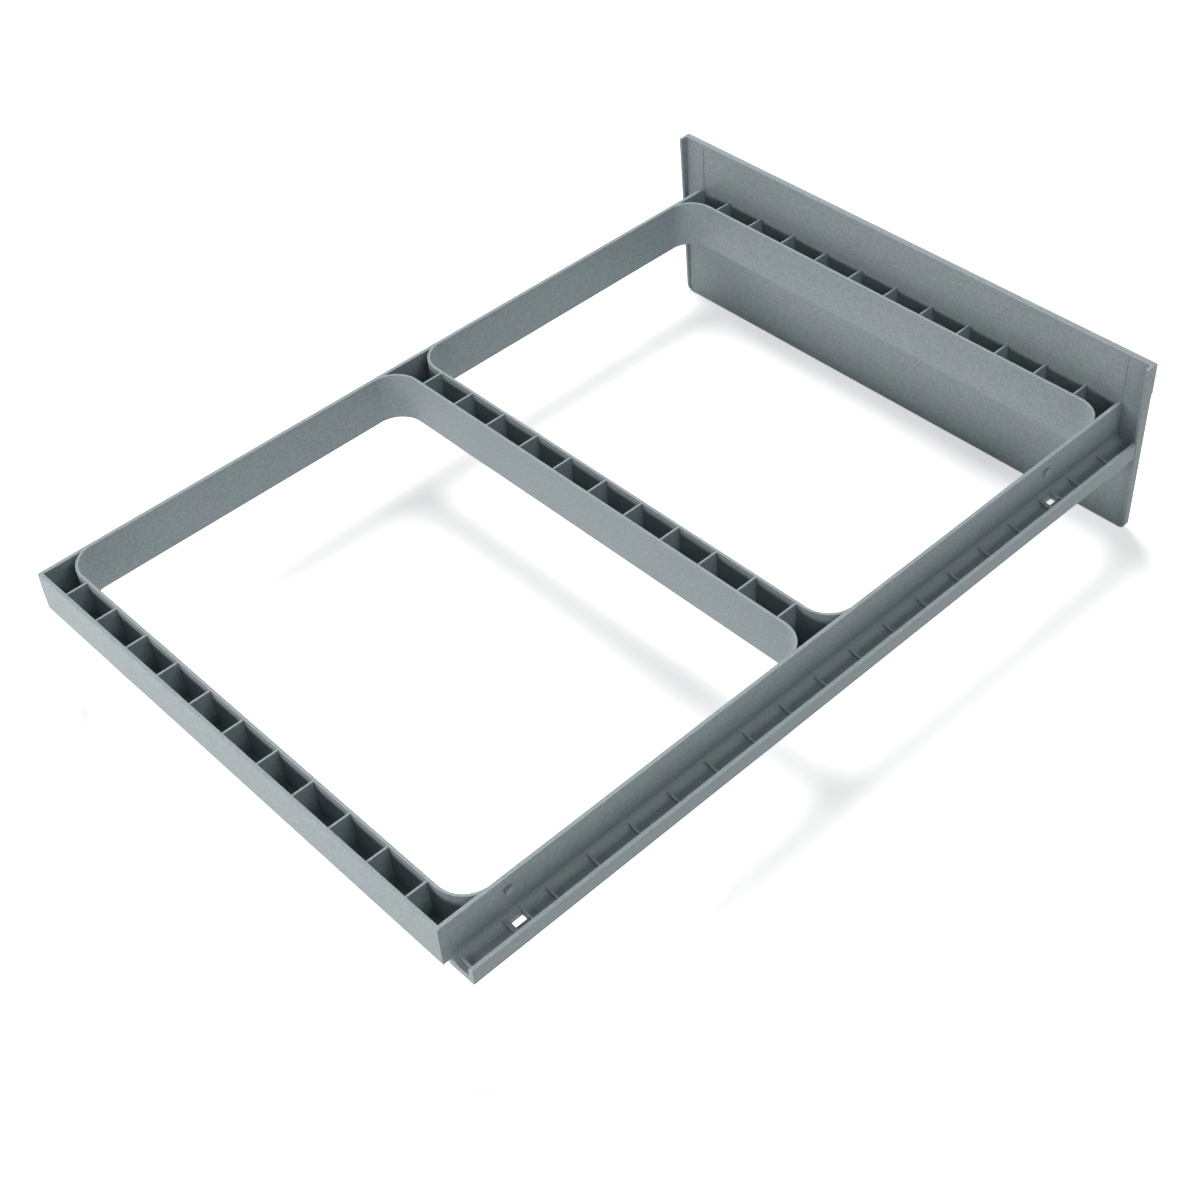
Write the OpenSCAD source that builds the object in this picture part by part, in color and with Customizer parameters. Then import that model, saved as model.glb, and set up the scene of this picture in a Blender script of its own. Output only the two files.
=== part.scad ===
// Pull-out bin frame: two bin openings in a ribbed frame with runner channels and a tall front panel.
// The front panel is at -Y, the width runs along X and the lowest edge of the panel is at Z = 0.

/* [Frame] */
// Width over the two side walls
frame_w = 340; // [300:1:400]
// Depth from the rear face to the inner face of the front panel
frame_d = 518; // [480:1:580]
// Height of the side walls and of the rails
frame_h = 32; // [28:0.5:45]
// Thickness of the side walls and of the outer wall of the rear rail
side_t = 2.5; // [2:0.1:3.5]
// Thickness of the walls along the bin openings
rail_t = 1.8; // [1.4:0.1:2.6]
// Radius of the corners of the bin openings
corner_r = 17; // [10:0.5:24]
// Rounding of the top edges of the walls, ribs and lips
edge_r = 0.4; // [0.2:0.1:0.6]

/* [Rails] */
// Depth of the rear rail over both of its walls
rear_rail_d = 17; // [12:0.5:24]
// Depth of the middle rail over both of its walls
middle_rail_d = 17.5; // [12:0.5:24]
// Depth of the front rail, from its opening side to the front panel
front_rail_d = 14.5; // [10:0.5:22]
// Length of the rear bin opening
rear_opening_d = 233.5; // [200:0.5:250]
// How far the outer rear wall stays above the bottom of the other walls
rear_wall_lift = 6; // [0:0.5:12]
// Thickness of the floors of the rails
rail_floor_t = 1.5; // [1:0.1:3]
// Number of ribs across each rail
rib_n = 11; // [5:1:15]
// Thickness of the ribs across the rails
rib_t = 1.4; // [1:0.1:2]
// How far the ribs stay below the top of the walls
rib_drop = 0.5; // [0:0.1:3]
// From the end of an opening's corner bend to the middle of the first rib
rib_inset = 6; // [3:0.1:12]

/* [Runner channels] */
// From the outer face of a side wall to the outer face of the lip
channel_w = 15; // [13.5:0.5:22]
// Height of the channel floor's upper side over the bottom of the frame
channel_floor_z = 4.6; // [3.5:0.1:6]
// Thickness of the channel floor
channel_floor_t = 2.2; // [1.6:0.1:3]
// Height by which the floor sweeps up at the side wall
sweep_h = 4.2; // [2:0.1:5]
// Width over which the floor sweeps up
sweep_w = 6.5; // [5:0.1:8]
// From the rear face of the frame to the rear end of the channel
channel_setback = 5; // [3:0.5:9]
// Height of the lip over the bottom of the frame
lip_h = 10; // [7:0.5:16]
// Thickness of the lip
lip_t = 2.6; // [2:0.1:3.5]
// Thickness of the sill at the rear end of the floor
sill_t = 1.6; // [1:0.1:2.5]
// Number of gussets in each channel
gusset_n = 19; // [9:1:25]
// Thickness of a gusset
gusset_t = 0.9; // [0.7:0.1:1.4]
// Height of a gusset at the side wall, over the floor
gusset_h = 2.8; // [2:0.1:6]
// Height of a gusset at its low end, over the floor
gusset_tip = 1.4; // [0.6:0.1:1.8]
// Length of a gusset along the floor
gusset_l = 10.4; // [8:0.1:10.8]
// From the rear end of the channel to the middle of the first gusset
gusset_first = 3.5; // [2.4:0.1:8]
// From the middle of the last gusset to the inner face of the front panel
gusset_last = 23; // [15:0.5:40]
// Width of the slots through the floor
slot_w = 4.5; // [3:0.1:6]
// Length of the slots through the floor
slot_l = 8.2; // [4:0.1:12]
// From the side wall to the near edge of the slots
slot_inset = 3; // [2:0.1:4]
// Thickness of the stop rib on the rear side of each slot
stop_t = 2.2; // [1.2:0.1:3]
// From a slot's end to the rib beside it
slot_clear = 0.2; // [0.1:0.1:0.5]
// Number of gussets between the rear sill and the rear slot's stop rib
gussets_behind = 1; // [1:1:3]
// Number of gussets between the front slot's stop rib and the front panel
gussets_ahead = 2; // [1:1:4]
// Diameter of the pips on the side walls
pip_d = 4.8; // [3:0.1:8]
// Length of the pips
pip_l = 2; // [1:0.1:5]
// Rounding of the pips' outer ends
pip_edge_r = 0.6; // [0.2:0.1:0.9]
// Height of the pips over the bottom of the frame
pip_z = 23.5; // [14:0.5:25]

/* [Front panel] */
// How far the panel reaches past the lip on each side
panel_overhang = 0.5; // [0.5:0.5:10]
// Thickness of the panel
panel_t = 3; // [2:0.1:4]
// How far the panel reaches below the bottom of the frame
panel_drop = 58; // [30:0.5:90]
// How far the panel reaches above the top of the frame
panel_rise = 33.5; // [24:0.5:60]
// Radius of the lower corners of the panel
panel_corner_r = 5; // [3.5:0.5:12]
// Depth of the end flanges behind the panel, at its top
flange_d = 5; // [3:0.5:8]
// Depth of the end flanges at the bottom of the panel
flange_low_d = 1.2; // [0.8:0.1:2.5]
// Thickness of the end flanges
flange_t = 2; // [1.4:0.1:3]
// Height of the raised band along the top of the front face
band_h = 21.5; // [10:0.5:30]
// How far the band stands proud of the front face
band_t = 1; // [0.5:0.1:3]
// Width of the fins on the inner face in line with the side walls
fin_w = 1.2; // [0.8:0.1:2]
// How far the fins stand proud of the inner face
fin_d = 0.4; // [0.3:0.1:2]
// Distance from the top of the fins to the top of the panel
fin_gap = 3; // [1:0.5:10]

/* [Hidden] */
$fn = 64;
// Least thickness where a corner bend runs out on the side wall
feather = 0.15;
// How far the sweep's arc dips under the channel floor's upper side, so that it ends at an angle
sweep_sink = 0.1;
// Gap between curved faces of neighbouring pieces
curve_gap = 0.3;
// Gussets that carry a slot on their front side, counted from the rear
slot_gussets = [gussets_behind, gusset_n - 1 - gussets_ahead];
// From the middle of such a gusset to the rear edge of its slot
slot_gap = stop_t - gusset_t / 2 + slot_clear;

plastic = [0.55, 0.58, 0.58];
plastic_dark = [0.47, 0.5, 0.51];
plastic_light = [0.62, 0.65, 0.65];

inner_w = frame_w - 2 * side_t;
half_w = frame_w / 2;
straight_w = inner_w - 2 * corner_r;
panel_w = frame_w + 2 * (channel_w + panel_overhang);
panel_h = panel_drop + frame_h + panel_rise;
overall_d = frame_d + panel_t + band_t;
frame_z = panel_drop;
frame_top = frame_z + frame_h;
y_rear = overall_d / 2;
y_panel = y_rear - frame_d;

// Distances from the rear face, along the frame
rear_opening_0 = rear_rail_d;
rear_opening_1 = rear_opening_0 + rear_opening_d;
front_opening_0 = rear_opening_1 + middle_rail_d;
front_opening_1 = frame_d - front_rail_d;
trough_w = channel_w - lip_t;
trough_z = frame_z + channel_floor_z;
rib_span = straight_w - 2 * rib_inset;
gusset_0 = channel_setback + gusset_first;
gusset_pitch = (frame_d - gusset_last - gusset_0) / (gusset_n - 1);

function from_rear(d) = y_rear - d;
function gusset_at(i) = gusset_0 + i * gusset_pitch;
function slot_at(i) = gusset_at(i) + slot_gap;
function flange_at(z) = flange_low_d + (flange_d - flange_low_d) * z / panel_h;

// Upright section of a wall of thickness t: foot on the X axis, top edges rounded
module wall_section(t, h) {
    r = min(edge_r, t / 3);
    square([t, h - r]);
    translate([r, 0]) square([t - 2 * r, h]);
    for (x = [r, t - r]) translate([x, h - r]) circle(r);
}

// Sweeps a section along X over the given length, its thickness towards +Y
module along_x(length) {
    rotate([90, 0, 90]) linear_extrude(length) children();
}

// Sweeps a section towards the front between two distances from the rear face, from x0 towards +X
module along_y(x0, d0, d1, z0) {
    translate([x0, from_rear(d0), z0]) rotate([90, 0, 0]) linear_extrude(d1 - d0) children();
}

// Box on the +X side, between two distances from the middle plane and two from the rear face
module side_box(x0, x1, d0, d1, z0, z1) {
    translate([x0, from_rear(d1), z0]) cube([x1 - x0, d1 - d0, z1 - z0]);
}

// Turns a piece made for the +X side into the one of the given side
module on_side(side) {
    mirror([side < 0 ? 1 : 0, 0, 0]) children();
}

// Panel outline with rounded lower corners, drawn in by the given amount at the ends and the bottom
module panel_outline(draw_in) {
    w = panel_w - 2 * draw_in;
    r = panel_corner_r - draw_in;
    translate([-w / 2, panel_corner_r]) square([w, panel_h - panel_corner_r]);
    translate([r - w / 2, draw_in]) square([w - 2 * r, panel_corner_r]);
    for (x = [-1, 1]) translate([x * (w / 2 - r), panel_corner_r]) circle(r);
}

// Stands an outline drawn in X and Z upright, from y0 to y0 + depth
module upright(y0, depth) {
    translate([0, y0 + depth, 0]) rotate([90, 0, 0]) linear_extrude(depth) children();
}

module front_panel() {
    color(plastic) upright(y_panel - panel_t, panel_t) panel_outline(0);
}

module panel_top_band() {
    color(plastic) translate([-panel_w / 2, y_panel - panel_t - band_t, panel_h - band_h])
        cube([panel_w, band_t, band_h]);
}

module panel_fins() {
    fin_h = panel_h - fin_gap - frame_top;
    color(plastic_light) for (x = [-1, 1])
        translate([x * (half_w - side_t / 2) - fin_w / 2, y_panel, frame_top]) cube([fin_w, fin_d, fin_h]);
}

// Return at the +X end of the panel: it follows the rounded lower corner and grows shallower downwards
module flange_body() {
    past = 1;
    intersection() {
        upright(y_panel, flange_d) intersection() {
            difference() {
                panel_outline(0);
                panel_outline(flange_t);
            }
            translate([panel_w / 2 - panel_corner_r, 0]) square([panel_corner_r, panel_h]);
        }
        translate([half_w, y_panel, 0]) along_x(panel_w / 2) polygon([
            [-past, -past], [flange_at(-past), -past],
            [flange_at(panel_h + past), panel_h + past], [-past, panel_h + past]
        ]);
    }
}

module end_flange(side) {
    color(plastic) on_side(side) flange_body();
}

// Wedge on one side of the mitre at the +X rear corner: the rear wall's side or the side wall's
module rear_mitre(behind) {
    x0 = inner_w / 2;
    y0 = from_rear(side_t);
    far = behind ? [x0 - side_t, y0 + 2 * side_t] : [x0 + 2 * side_t, y0 - side_t];
    translate([0, 0, frame_z - 1]) linear_extrude(frame_h + 2)
        polygon([[x0 - side_t, y0 - side_t], [x0 + 2 * side_t, y0 + 2 * side_t], far]);
}

// Single wall along the openings, mitred at the rear and raised there as far as the channel is set back
module side_wall(side) {
    color(plastic) on_side(side) difference() {
        along_y(inner_w / 2, 0, frame_d, frame_z) wall_section(side_t, frame_h);
        rear_mitre(true);
        side_box(inner_w / 2 - 1, half_w + 1, -1, channel_setback, frame_z - 1, frame_z + rear_wall_lift);
    }
}

module rear_rail_outer_wall() {
    color(plastic_light) difference() {
        translate([-half_w, from_rear(side_t), frame_z + rear_wall_lift])
            along_x(frame_w) wall_section(side_t, frame_h - rear_wall_lift);
        for (side = [-1, 1]) on_side(side) rear_mitre(false);
    }
}

// Quarter bend about the origin, from +X to +Y: it leaves the rail and runs out on the side wall
module corner_bend() {
    run_out = sqrt(2 * corner_r * feather);
    intersection() {
        rotate_extrude(angle = 90) translate([corner_r, 0]) wall_section(rail_t, frame_h);
        translate([-1, run_out, -1]) cube([corner_r + 1, corner_r + rail_t, frame_h + 2]);
    }
}

// The four bends of an opening between two distances from the rear face
module opening_corners(d0, d1) {
    color(plastic) translate([0, 0, frame_z]) for (side = [-1, 1]) on_side(side) {
        translate([straight_w / 2, from_rear(d0 + corner_r), 0]) corner_bend();
        translate([straight_w / 2, from_rear(d1 - corner_r), 0]) mirror([0, 1, 0]) corner_bend();
    }
}

// Straight wall across one end of an opening, between the bends, its front side at distance d
module opening_wall(d) {
    color(plastic) translate([-straight_w / 2, from_rear(d), frame_z])
        along_x(straight_w) wall_section(rail_t, frame_h);
}

// Outline of an opening in X and distance from the rear face, outside its walls and clear of its bends
module opening_outline(d0, d1) {
    translate([-straight_w / 2, d0 - rail_t]) square([straight_w, d1 - d0 + 2 * rail_t]);
    translate([-inner_w / 2 - rail_t, d0 + corner_r]) square([inner_w + 2 * rail_t, d1 - d0 - 2 * corner_r]);
    for (x = [-1, 1]) for (d = [d0 + corner_r, d1 - corner_r])
        translate([x * straight_w / 2, d]) circle(corner_r + rail_t + curve_gap);
}

// Floor of a rail between the side walls, which fills the pockets behind the bends of the openings
module rail_floor(d0, d1, z0) {
    color(plastic_dark) translate([0, y_rear, z0]) mirror([0, 1, 0])
        linear_extrude(rail_floor_t) difference() {
            translate([-inner_w / 2, d0]) square([inner_w, d1 - d0]);
            opening_outline(rear_opening_0, rear_opening_1);
            opening_outline(front_opening_0, front_opening_1);
        }
}

// Evenly spaced ribs across a rail, between two distances from the rear face
module rail_ribs(d0, d1, z0) {
    color(plastic_dark) for (i = [0 : rib_n - 1])
        along_y(i * rib_span / (rib_n - 1) - rib_span / 2 - rib_t / 2, d0, d1, z0)
            wall_section(rib_t, frame_top - rib_drop - z0);
}

// Section of the arc from the side wall down to the channel floor's upper side, thicker by the given gap
module sweep_section(gap) {
    sweep_r = (sweep_w * sweep_w + sweep_h * sweep_h) / (2 * sweep_h);
    difference() {
        square([sweep_w, sweep_h + gap]);
        translate([sweep_w, sweep_r - sweep_sink]) circle(sweep_r - gap);
    }
}

// Floor of a runner channel, between the side wall and the lip, with its two slots
module channel_floor(side) {
    x_slot = half_w + slot_inset;
    color(plastic_dark) on_side(side) difference() {
        along_y(half_w, channel_setback + sill_t, frame_d, trough_z) {
            translate([0, -channel_floor_t]) square([trough_w, channel_floor_t]);
            sweep_section(0);
        }
        for (i = slot_gussets)
            side_box(x_slot, x_slot + slot_w, slot_at(i), slot_at(i) + slot_l, frame_z - 1, frame_top);
    }
}

module channel_lip(side) {
    color(plastic) on_side(side) difference() {
        along_y(half_w + trough_w, channel_setback, frame_d, frame_z) wall_section(lip_t, lip_h);
        flange_body();
    }
}

// Sill at the rear end of a channel: as high as the floor with its sweep, and down to the frame's bottom
module channel_sill(side) {
    color(plastic) on_side(side) along_y(half_w, channel_setback, channel_setback + sill_t, trough_z) {
        translate([0, -channel_floor_z]) square([trough_w, channel_floor_z]);
        sweep_section(0);
    }
}

// Low web on the channel floor between two distances from the rear face, sloping down from the sweep
module gusset(d0, d1) {
    along_y(half_w, d0, d1, trough_z) difference() {
        polygon([[0, 0], [gusset_l, 0], [gusset_l, gusset_tip], [0, gusset_h]]);
        sweep_section(curve_gap);
    }
}

// Row of gussets in a channel: those behind a slot are thicker, and a thin one closes each slot's front
module channel_gussets(side) {
    color(plastic_dark) on_side(side) {
        for (i = [0 : gusset_n - 1]) {
            d0 = gusset_at(i) - gusset_t / 2;
            gusset(d0, d0 + (len(search(i, slot_gussets)) > 0 ? stop_t : gusset_t));
        }
        for (i = slot_gussets) {
            d0 = slot_at(i) + slot_l + slot_clear;
            gusset(d0, d0 + gusset_t);
        }
    }
}

// Half section of a pip: its axis along Y, its outer end rounded
module pip_section() {
    square([pip_d / 2, pip_l - pip_edge_r]);
    square([pip_d / 2 - pip_edge_r, pip_l]);
    translate([pip_d / 2 - pip_edge_r, pip_l - pip_edge_r]) intersection() {
        circle(pip_edge_r);
        square(pip_edge_r);
    }
}

// Round pips on the outer face of a side wall, above the middle of each slot
module wall_pips(side) {
    color(plastic_light) on_side(side) for (i = slot_gussets)
        translate([half_w, from_rear(slot_at(i) + slot_l / 2), frame_z + pip_z])
            rotate([0, 90, 0]) rotate_extrude() pip_section();
}

front_panel();
panel_top_band();
panel_fins();
end_flange(-1);  // left_end_flange
end_flange(1);  // right_end_flange
side_wall(-1);  // left_side_wall
side_wall(1);  // right_side_wall
rear_rail_outer_wall();
opening_wall(rear_opening_0);  // rear_rail_inner_wall
rail_floor(side_t, rear_opening_0 + corner_r, frame_z + rear_wall_lift);  // rear_rail_floor
rail_ribs(side_t, rear_opening_0 - rail_t, frame_z + rear_wall_lift + rail_floor_t);  // rear_rail_ribs
opening_wall(rear_opening_1 + rail_t);  // middle_rail_rear_wall
opening_wall(front_opening_0);  // middle_rail_front_wall
rail_floor(rear_opening_1 - corner_r, front_opening_0 + corner_r, frame_z);  // middle_rail_floor
rail_ribs(rear_opening_1 + rail_t, front_opening_0 - rail_t, frame_z + rail_floor_t);  // middle_rail_ribs
opening_wall(front_opening_1 + rail_t);  // front_rail_wall
rail_floor(front_opening_1 - corner_r, frame_d, frame_z);  // front_rail_floor
rail_ribs(front_opening_1 + rail_t, frame_d, frame_z + rail_floor_t);  // front_rail_ribs
opening_corners(rear_opening_0, rear_opening_1);  // rear_opening_corners
opening_corners(front_opening_0, front_opening_1);  // front_opening_corners
channel_floor(-1);  // left_channel_floor
channel_floor(1);  // right_channel_floor
channel_lip(-1);  // left_channel_lip
channel_lip(1);  // right_channel_lip
channel_sill(-1);  // left_channel_sill
channel_sill(1);  // right_channel_sill
channel_gussets(-1);  // left_channel_gussets
channel_gussets(1);  // right_channel_gussets
wall_pips(-1);  // left_wall_pips
wall_pips(1);  // right_wall_pips
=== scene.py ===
import math
import bmesh
import bpy
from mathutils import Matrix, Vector


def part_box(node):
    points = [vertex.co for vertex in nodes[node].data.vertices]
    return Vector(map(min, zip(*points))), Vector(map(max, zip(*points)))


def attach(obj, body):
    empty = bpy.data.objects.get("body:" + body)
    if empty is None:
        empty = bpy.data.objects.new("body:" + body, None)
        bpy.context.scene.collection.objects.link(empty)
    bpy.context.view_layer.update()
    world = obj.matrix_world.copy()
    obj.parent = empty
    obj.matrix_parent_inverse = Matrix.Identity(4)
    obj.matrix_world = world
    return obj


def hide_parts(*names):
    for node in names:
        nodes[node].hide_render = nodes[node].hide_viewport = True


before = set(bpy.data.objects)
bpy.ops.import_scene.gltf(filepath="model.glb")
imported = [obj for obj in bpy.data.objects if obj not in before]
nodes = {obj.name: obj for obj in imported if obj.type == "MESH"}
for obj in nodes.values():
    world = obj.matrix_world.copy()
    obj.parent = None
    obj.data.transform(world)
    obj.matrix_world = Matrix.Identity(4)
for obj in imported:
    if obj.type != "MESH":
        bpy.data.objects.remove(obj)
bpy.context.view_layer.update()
print("frame loaded with", len(nodes), "nodes")


def addObject(name, data):
    added = bpy.data.objects.new(name, data)
    bpy.context.scene.collection.objects.link(added)
    return added


# camera at the photograph's angle, solved from the frame's straight edges
cameraView = {
    "place": (-0.622, 0.5348, 0.7974),
    "turn": (46.02, 2.573, -133.996),  # degrees
    "lens": 58.649,
    "sensor": 36.0,
    "shift": (-0.0302, -0.0022),
    "clip": (0.01, 50),
}


def makeCamera(view):
    data = bpy.data.cameras.new("photoCamera")
    data.lens = view["lens"]
    data.sensor_width = view["sensor"]
    data.shift_x, data.shift_y = view["shift"]
    data.clip_start, data.clip_end = view["clip"]
    camera = addObject("photoCamera", data)
    camera.location = view["place"]
    camera.rotation_euler = [math.radians(angle) for angle in view["turn"]]
    bpy.context.scene.camera = camera


makeCamera(cameraView)
print("camera placed")


# values that aren't the node's own settings go to its sockets, with _ for a space
def newNode(tree, kind, place=(0, 0), **values):
    node = tree.nodes.new(kind)
    node.location = place
    for name, value in values.items():
        if hasattr(node, name):
            setattr(node, name, value)
        else:
            node.inputs[name.replace("_", " ")].default_value = value
    return node


# one math node on two values, each a socket or a number
def combine(tree, operation, first, second, place=(0, 0)):
    node = newNode(tree, "ShaderNodeMath", place, operation=operation)
    for socket, value in zip(node.inputs, (first, second)):
        if isinstance(value, bpy.types.NodeSocket):
            tree.links.new(value, socket)
        else:
            socket.default_value = value
    return node.outputs[0]


def newGroup(name, inputs, outputs):
    tree = bpy.data.node_groups.new(name, "ShaderNodeTree")
    for label, kind, value in inputs:
        socket = tree.interface.new_socket(name=label, in_out="INPUT", socket_type=kind)
        if value is not None:
            socket.default_value = value
    for label, kind in outputs:
        tree.interface.new_socket(name=label, in_out="OUTPUT", socket_type=kind)
    return tree, tree.nodes.new("NodeGroupInput"), tree.nodes.new("NodeGroupOutput")


# fine spark grain of the mould's steel, with a cloudier mottle and a drift of hue under it
grainNoise = {
    "grain": {"Detail": 3, "Roughness": 0.65},
    "mottle": {"Detail": 4, "Roughness": 0.55},
    "hue": {"Detail": 2, "Roughness": 0.5},
    "hueSpan": {"From_Min": 0.36, "From_Max": 0.64},
    "middle": 0.5,  # what the noise swings about
}


def makeMouldGrain(noises):
    tree, given, out = newGroup(
        "mouldGrain",
        [("Vector", "NodeSocketVector", None), ("Grain Size", "NodeSocketFloat", 0.0012),
         ("Mottle Size", "NodeSocketFloat", 0.02), ("Grain Tone", "NodeSocketFloat", 0.1),
         ("Mottle Tone", "NodeSocketFloat", 0.05), ("Hue Size", "NodeSocketFloat", 0.02)],
        [("Tone", "NodeSocketFloat"), ("Height", "NodeSocketFloat"),
         ("Cloud", "NodeSocketFloat"), ("Hue", "NodeSocketFloat")])
    link = tree.links.new

    def noiseOf(sizeName, values):
        noise = newNode(tree, "ShaderNodeTexNoise", **values)
        link(given.outputs["Vector"], noise.inputs["Vector"])
        link(combine(tree, "DIVIDE", 1, given.outputs[sizeName]), noise.inputs["Scale"])
        return noise.outputs["Fac"]

    def swing(value, amountName):
        centred = combine(tree, "SUBTRACT", value, noises["middle"])
        return combine(tree, "MULTIPLY", centred, given.outputs[amountName])

    grain = noiseOf("Grain Size", noises["grain"])
    cloud = noiseOf("Mottle Size", noises["mottle"])
    both = combine(tree, "ADD", swing(grain, "Grain Tone"), swing(cloud, "Mottle Tone"))
    hue = newNode(tree, "ShaderNodeMapRange", **noises["hueSpan"])
    link(noiseOf("Hue Size", noises["hue"]), hue.inputs["Value"])
    link(combine(tree, "ADD", both, 1), out.inputs["Tone"])
    link(grain, out.inputs["Height"])
    link(cloud, out.inputs["Cloud"])
    link(hue.outputs["Result"], out.inputs["Hue"])
    return tree


# paler along edges above a given height: partly wear where bins and hands wear the skin, partly a
# painted highlight where the top edges catch the light
edgeRubAndHighlightShape = {
    "samples": 4,
    "bend": {"From_Min": 0.99, "From_Max": 0.86},  # cosines from no rub to full rub
    "patches": {"From_Min": 0.3, "From_Max": 0.6, "To_Min": 0.5},
}


def makeEdgeRubAndHighlight(shape):
    tree, given, out = newGroup(
        "edgeRubAndHighlight",
        [("Vector", "NodeSocketVector", None), ("Width", "NodeSocketFloat", 0.0006),
         ("From Height", "NodeSocketFloat", 0.0), ("Grain", "NodeSocketFloat", 0.5)],
        [("Mask", "NodeSocketFloat")])
    link = tree.links.new
    # edges found from the bevelled normal get the paler colour: wear in part, a painted highlight
    # in part
    rounded = newNode(tree, "ShaderNodeBevel", samples=shape["samples"])
    link(given.outputs["Width"], rounded.inputs["Radius"])
    face = newNode(tree, "ShaderNodeNewGeometry")
    bend = newNode(tree, "ShaderNodeVectorMath", operation="DOT_PRODUCT")
    link(rounded.outputs["Normal"], bend.inputs[0])
    link(face.outputs["Normal"], bend.inputs[1])
    edge = newNode(tree, "ShaderNodeMapRange", **shape["bend"])
    link(bend.outputs["Value"], edge.inputs["Value"])
    patchy = newNode(tree, "ShaderNodeMapRange", **shape["patches"])
    link(given.outputs["Grain"], patchy.inputs["Value"])
    spot = newNode(tree, "ShaderNodeSeparateXYZ")
    link(given.outputs["Vector"], spot.inputs[0])
    raised = combine(tree, "GREATER_THAN", spot.outputs["Z"], given.outputs["From Height"])
    wornAndLit = combine(tree, "MULTIPLY", edge.outputs["Result"], patchy.outputs["Result"])
    link(combine(tree, "MULTIPLY", wornAndLit, raised), out.inputs["Mask"])
    return tree


# the edge group paints a highlight along the top edges as well as their wear
mouldGrain = makeMouldGrain(grainNoise)
edgeRubAndHighlight = makeEdgeRubAndHighlight(edgeRubAndHighlightShape)
print("shared grain and edge rub built")


# one grey polypropylene, with the grain of each member's own tool face; lengths in metres
wallFinish = {
    "green": (0.250, 0.311, 0.316), "violet": (0.266, 0.306, 0.334), "hueSize": 0.021,
    "grain": 0.0014, "grainTone": 0.85, "mottle": 0.018, "mottleTone": 0.07,
    "rough": (0.5, 0.62), "gloss": 0.4, "bump": 0.2, "depth": 0.00015,
    # the paler edge colour below stands partly for wear, partly for a painted highlight along the
    # top edges
    "rubAndHighlightWidth": 0.0006, "rubAndHighlightFrom": 0.0893, "rubbedAndLitColor": (0.40, 0.455, 0.47),
}
troughFinish = {
    **wallFinish,
    "green": (0.245, 0.305, 0.310), "violet": (0.260, 0.300, 0.328), "hueSize": 0.016,
    "grain": 0.0012, "grainTone": 0.75, "mottle": 0.012,
    "rough": (0.48, 0.6), "bump": 0.1, "depth": 0.0001,
    "rubAndHighlightFrom": 0.08,  # above the channel, so its run-out on the wall shows no line
}
plasticFinishes = {
    "wallPlastic": wallFinish,
    "railPlastic": {**wallFinish, "hueSize": 0.019, "grain": 0.0013, "mottle": 0.015},
    "panelPlastic": {
        **wallFinish,
        "green": (0.248, 0.310, 0.315), "violet": (0.264, 0.305, 0.334), "hueSize": 0.026,
        "grain": 0.0015, "mottle": 0.024, "rough": (0.52, 0.64), "rubAndHighlightFrom": 0.1228,
    },
    "channelPlastic": {
        **troughFinish,
        # paler here: a painted highlight along the lip's and gussets' top edges, with some wear
        "rubAndHighlightWidth": 0.0008, "rubAndHighlightFrom": 0.0, "rubbedAndLitColor": (0.50, 0.56, 0.575),
    },
    "troughPlastic": troughFinish,
    "pipPlastic": {
        **wallFinish,
        "green": (0.258, 0.318, 0.323), "violet": (0.272, 0.312, 0.338), "hueSize": 0.008,
        "grain": 0.0010, "grainTone": 0.45, "mottle": 0.006, "mottleTone": 0.06,
        "rough": (0.46, 0.56), "bump": 0.08, "depth": 0.00008, "rubAndHighlightFrom": 0.0,
    },
}


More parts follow.
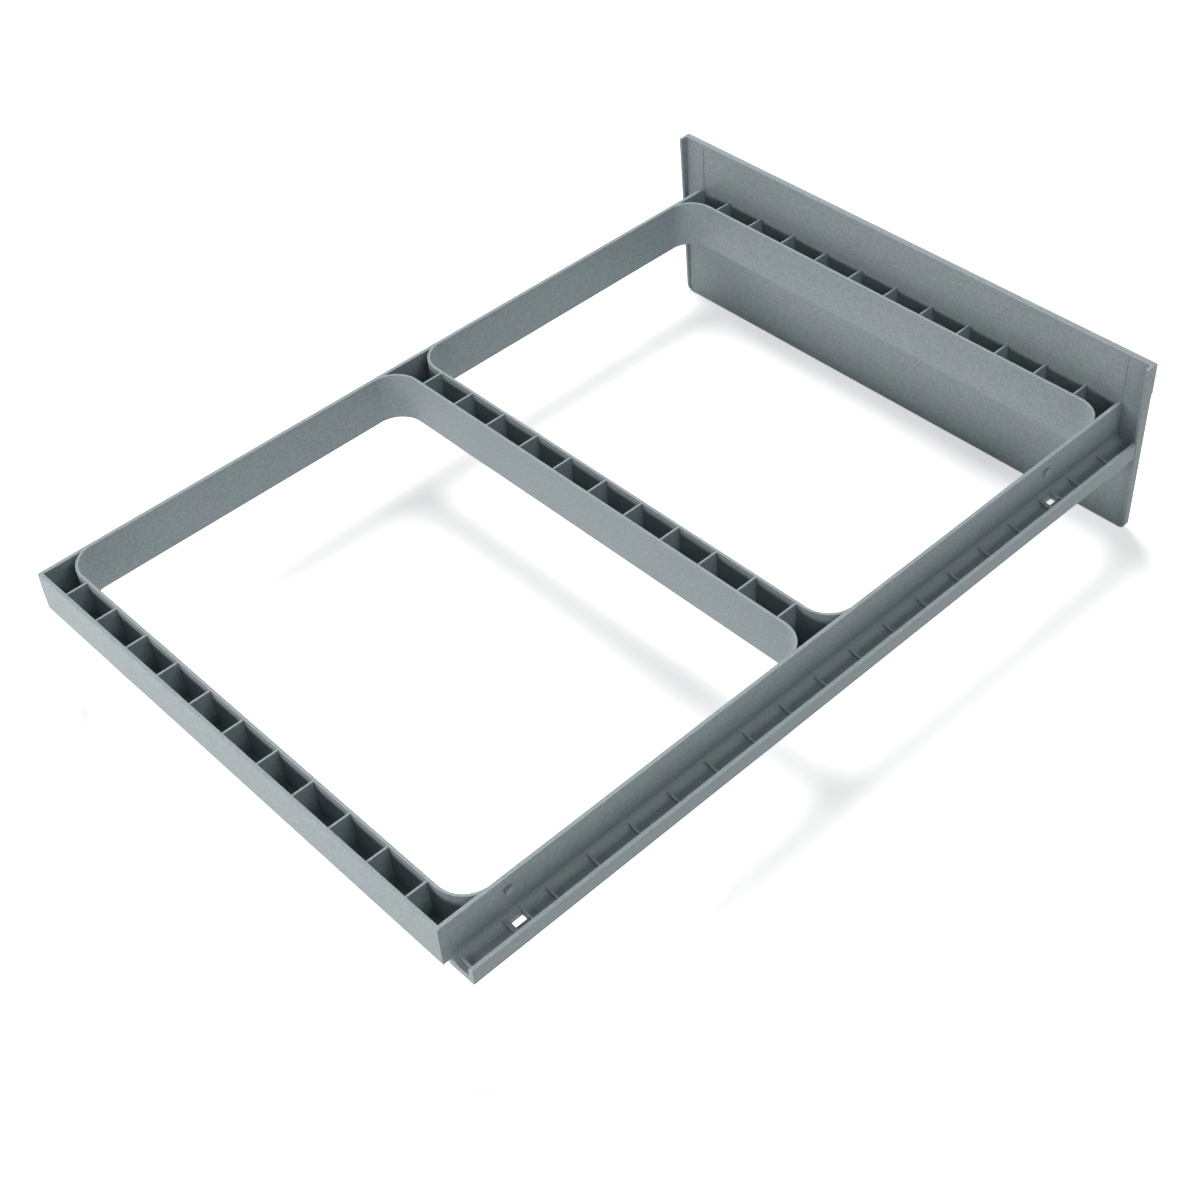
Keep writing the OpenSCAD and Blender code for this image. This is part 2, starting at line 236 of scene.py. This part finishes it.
def makePlastic(name, finish):
    material = bpy.data.materials.new(name)
    material.use_nodes = True
    tree = material.node_tree
    link = tree.links.new
    shader = tree.nodes["Principled BSDF"]
    shader.inputs["Specular IOR Level"].default_value = finish["gloss"]
    coords = newNode(tree, "ShaderNodeTexCoord", (-900, 0)).outputs["Object"]

    def placeGroup(group, place, values):
        node = newNode(tree, "ShaderNodeGroup", place)
        node.node_tree = group
        link(coords, node.inputs["Vector"])
        for socket, key in values.items():
            node.inputs[socket].default_value = finish[key]
        return node

    grain = placeGroup(mouldGrain, (-700, 0), {
        "Grain Size": "grain", "Grain Tone": "grainTone", "Mottle Size": "mottle",
        "Mottle Tone": "mottleTone", "Hue Size": "hueSize"})
    rubAndHighlight = placeGroup(edgeRubAndHighlight, (-600, -100), {"Width": "rubAndHighlightWidth", "From Height": "rubAndHighlightFrom"})
    link(grain.outputs["Height"], rubAndHighlight.inputs["Grain"])

    def colorMix(place, **values):
        mix = newNode(tree, "ShaderNodeMix", place, data_type="RGBA", **values)
        colors = [socket for socket in mix.inputs if socket.type == "RGBA"]
        result = [socket for socket in mix.outputs if socket.type == "RGBA"][0]
        return mix.inputs["Factor"], colors, result

    driftShare, driftColors, drifted = colorMix((-600, 300))
    driftColors[0].default_value = (*finish["green"], 1)
    driftColors[1].default_value = (*finish["violet"], 1)
    link(grain.outputs["Hue"], driftShare)
    tintShare, tintColors, tinted = colorMix((-400, 200), blend_type="MULTIPLY")
    tintShare.default_value = 1
    link(drifted, tintColors[0])
    link(grain.outputs["Tone"], tintColors[1])
    # mixes the paler edge colour in: a painted highlight along the top edges, and their wear
    wornAndLitShare, wornAndLitColors, wornAndLit = colorMix((-200, 200))
    link(rubAndHighlight.outputs["Mask"], wornAndLitShare)
    link(tinted, wornAndLitColors[0])
    wornAndLitColors[1].default_value = (*finish["rubbedAndLitColor"], 1)
    link(wornAndLit, shader.inputs["Base Color"])

    smooth, dull = finish["rough"]
    rough = newNode(tree, "ShaderNodeMapRange", (-400, 0), To_Min=smooth, To_Max=dull)
    link(grain.outputs["Cloud"], rough.inputs["Value"])
    link(rough.outputs["Result"], shader.inputs["Roughness"])

    bump = newNode(tree, "ShaderNodeBump", (-400, -250),
                   Strength=finish["bump"], Distance=finish["depth"])
    link(grain.outputs["Height"], bump.inputs["Height"])
    link(bump.outputs["Normal"], shader.inputs["Normal"])
    return material


plastics = {name: makePlastic(name, finish) for name, finish in plasticFinishes.items()}

dressedNodes = {
    "wallPlastic": ["left_side_wall", "right_side_wall", "rear_rail_outer_wall"],
    "railPlastic": ["rear_rail_inner_wall", "rear_rail_floor", "rear_rail_ribs",
                    "middle_rail_rear_wall", "middle_rail_front_wall", "middle_rail_floor",
                    "middle_rail_ribs", "front_rail_wall", "front_rail_floor",
                    "front_rail_ribs", "rear_opening_corners", "front_opening_corners"],
    "panelPlastic": ["front_panel", "panel_top_band", "panel_fins",
                     "left_end_flange", "right_end_flange"],
    "channelPlastic": ["left_channel_lip", "right_channel_lip",
                       "left_channel_gussets", "right_channel_gussets"],
    "troughPlastic": ["left_channel_floor", "right_channel_floor",
                      "left_channel_sill", "right_channel_sill"],
    "pipPlastic": ["left_wall_pips", "right_wall_pips"],
}
for finishName, members in dressedNodes.items():
    for member in members:
        slots = nodes[member].data.materials
        slots.clear()
        slots.append(plastics[finishName])
print("materials on", sum(len(members) for members in dressedNodes.values()), "nodes")


# returns at the panel's ends: they follow its outline, grow shallower downwards
# and die out in the rounded lower corner; lengths in metres
endReturns = {
    "lowDepth": 0.0012,
    "lastDepth": 0.0001,
    "thick": 0.002,
    "cornerRadius": 0.005,
    "edgeRound": 0.0004,
    "straightSteps": 24,
    "cornerSteps": 16,
    "roundSteps": 4,
    "sharpAngle": 40,  # degrees
}


# outer spots in x and z from the top down, each with its way inward and its depth
def returnPath(box, side, given):
    low, high = box
    radius = given["cornerRadius"]
    outer = high[0] if side > 0 else low[0]
    topDepth = high[1] - low[1]
    path = []
    for i in range(given["straightSteps"] + 1):
        z = high[2] + (low[2] + radius - high[2]) * i / given["straightSteps"]
        share = (z - low[2]) / (high[2] - low[2])
        depth = given["lowDepth"] + (topDepth - given["lowDepth"]) * share
        path.append(((outer, z), (-side, 0), depth))
    cornerDepth = path[-1][2]
    for i in range(1, given["cornerSteps"] + 1):
        share = i / given["cornerSteps"]
        turn = share * math.pi / 2
        inward = (-side * math.cos(turn), math.sin(turn))
        spot = (outer - side * radius - radius * inward[0], low[2] + radius - radius * inward[1])
        fade = 1 - share * share * (3 - 2 * share)
        path.append((spot, inward, given["lastDepth"] + (cornerDepth - given["lastDepth"]) * fade))
    return path


# outline across a return, with its two free edges rounded
def returnSection(depth, given):
    bend = min(given["edgeRound"], depth / 2)
    section = [(0, 0)]
    for i in range(given["roundSteps"] + 1):
        turn = math.pi / 2 * i / given["roundSteps"]
        section.append((bend - bend * math.cos(turn), depth - bend + bend * math.sin(turn)))
    return section + [(given["thick"] - across, up) for across, up in reversed(section)]


def makeEndReturn(name, nodeName, side, given):
    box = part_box(nodeName)
    foot = box[0][1]  # the panel's inner face
    shape = bmesh.new()
    rings = []
    for (x, z), (inX, inZ), depth in returnPath(box, side, given):
        rings.append([shape.verts.new((x + inX * across, foot + up, z + inZ * across))
                      for across, up in returnSection(depth, given)])
    for ring, following in zip(rings, rings[1:]):
        for i in range(len(ring)):
            j = (i + 1) % len(ring)
            shape.faces.new((ring[i], ring[j], following[j], following[i]))
    shape.faces.new(rings[0])
    shape.faces.new(rings[-1])
    bmesh.ops.recalc_face_normals(shape, faces=shape.faces)
    mesh = bpy.data.meshes.new(name)
    shape.to_mesh(mesh)
    shape.free()
    mesh.shade_smooth()
    mesh.set_sharp_from_angle(angle=math.radians(given["sharpAngle"]))
    mesh.materials.append(plastics["panelPlastic"])
    piece = addObject(name, mesh)
    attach(piece, "root")
    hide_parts(nodeName)


makeEndReturn("leftEndReturn", "left_end_flange", -1, endReturns)
makeEndReturn("rightEndReturn", "right_end_flange", 1, endReturns)
print("end returns built")


# the given strength on rays that show the backdrop, the other one on rays that light the frame
def seenDirectly(tree, strength, otherwise=0.0):
    path = newNode(tree, "ShaderNodeLightPath", (-900, -300))
    seen = path.outputs["Is Camera Ray"]
    for ray in ("Is Glossy Ray", "Is Transmission Ray"):
        seen = combine(tree, "MAXIMUM", seen, path.outputs[ray], (-700, -300))
    span = newNode(tree, "ShaderNodeMapRange", (-500, -300), To_Min=otherwise, To_Max=strength)
    tree.links.new(seen, span.inputs["Value"])
    return span.outputs["Result"]


# pale paper floor: white to the camera, still darkened where the frame shades it;
# the lamps reach less far than the view, so its own white takes over from near to far
floorPaper = {
    "size": 8.0, "color": (0.92, 0.92, 0.92), "rough": 0.9, "gloss": 0,
    "glow": 0.5, "farGlow": 1.0, "near": 0.75, "far": 1.5, "strength": 1.0,
}


def makeFloor(paper):
    half = paper["size"] / 2
    corners = [(-half, -half, 0), (half, -half, 0), (half, half, 0), (-half, half, 0)]
    mesh = bpy.data.meshes.new("floorPaper")
    mesh.from_pydata(corners, [], [(0, 1, 2, 3)])
    floor = addObject("floorPaper", mesh)
    material = bpy.data.materials.new("floorPaper")
    material.use_nodes = True
    tree = material.node_tree
    link = tree.links.new
    shader = tree.nodes["Principled BSDF"]
    shader.inputs["Base Color"].default_value = (*paper["color"], 1)
    shader.inputs["Roughness"].default_value = paper["rough"]
    shader.inputs["Specular IOR Level"].default_value = paper["gloss"]
    spot = newNode(tree, "ShaderNodeNewGeometry", (-900, 300))
    reach = newNode(tree, "ShaderNodeVectorMath", (-700, 300), operation="LENGTH")
    link(spot.outputs["Position"], reach.inputs[0])
    white = newNode(tree, "ShaderNodeMapRange", (-500, 300), interpolation_type="SMOOTHSTEP",
                    From_Min=paper["near"], From_Max=paper["far"],
                    To_Min=paper["glow"], To_Max=paper["farGlow"])
    link(reach.outputs["Value"], white.inputs["Value"])
    link(white.outputs["Result"], shader.inputs["Emission Color"])
    link(seenDirectly(tree, paper["strength"]), shader.inputs["Emission Strength"])
    mesh.materials.append(material)


makeFloor(floorPaper)

roomLight = {"color": (1.0, 1.0, 1.0), "white": 1.0, "fill": 0.07}


def makeRoom(light):
    world = bpy.data.worlds.new("room")
    world.use_nodes = True
    bpy.context.scene.world = world
    tree = world.node_tree
    back = tree.nodes["Background"]
    back.inputs["Color"].default_value = (*light["color"], 1)
    tree.links.new(seenDirectly(tree, light["white"], light["fill"]), back.inputs["Strength"])


makeRoom(roomLight)

# a low key behind the rear rail, a fill on the channel's side and one high lamp past the far side
softLamps = {
    "rearKey": {"place": (0.212, 1.202, 0.42), "aim": (0, 0, 0.07), "size": (0.8, 0.24),
                "power": 9.2, "color": (1.0, 0.937, 0.938)},
    "sideFill": {"place": (-1.174, 0.05, 0.832), "aim": (0, 0, 0.07), "size": (0.9, 0.5),
                 "power": 4.6, "color": (0.97, 1.0, 1.01)},
    "farTop": {"place": (0.69, -0.431, 1.897), "aim": (0, 0, 0.07), "size": (0.8, 0.8),
               "power": 35, "color": (1.0, 1.0, 1.0)},
}


def makeLamp(name, lamp):
    data = bpy.data.lights.new(name, "AREA")
    data.shape = "RECTANGLE"
    data.size, data.size_y = lamp["size"]
    data.energy = lamp["power"]
    data.color = lamp["color"]
    light = addObject(name, data)
    light.location = lamp["place"]
    toward = Vector(lamp["aim"]) - Vector(lamp["place"])
    light.rotation_euler = toward.to_track_quat("-Z", "Y").to_euler()


for lampName, lamp in softLamps.items():
    makeLamp(lampName, lamp)
bpy.context.scene.view_settings.view_transform = "Standard"
print("floor, room and", len(softLamps), "lamps ready")
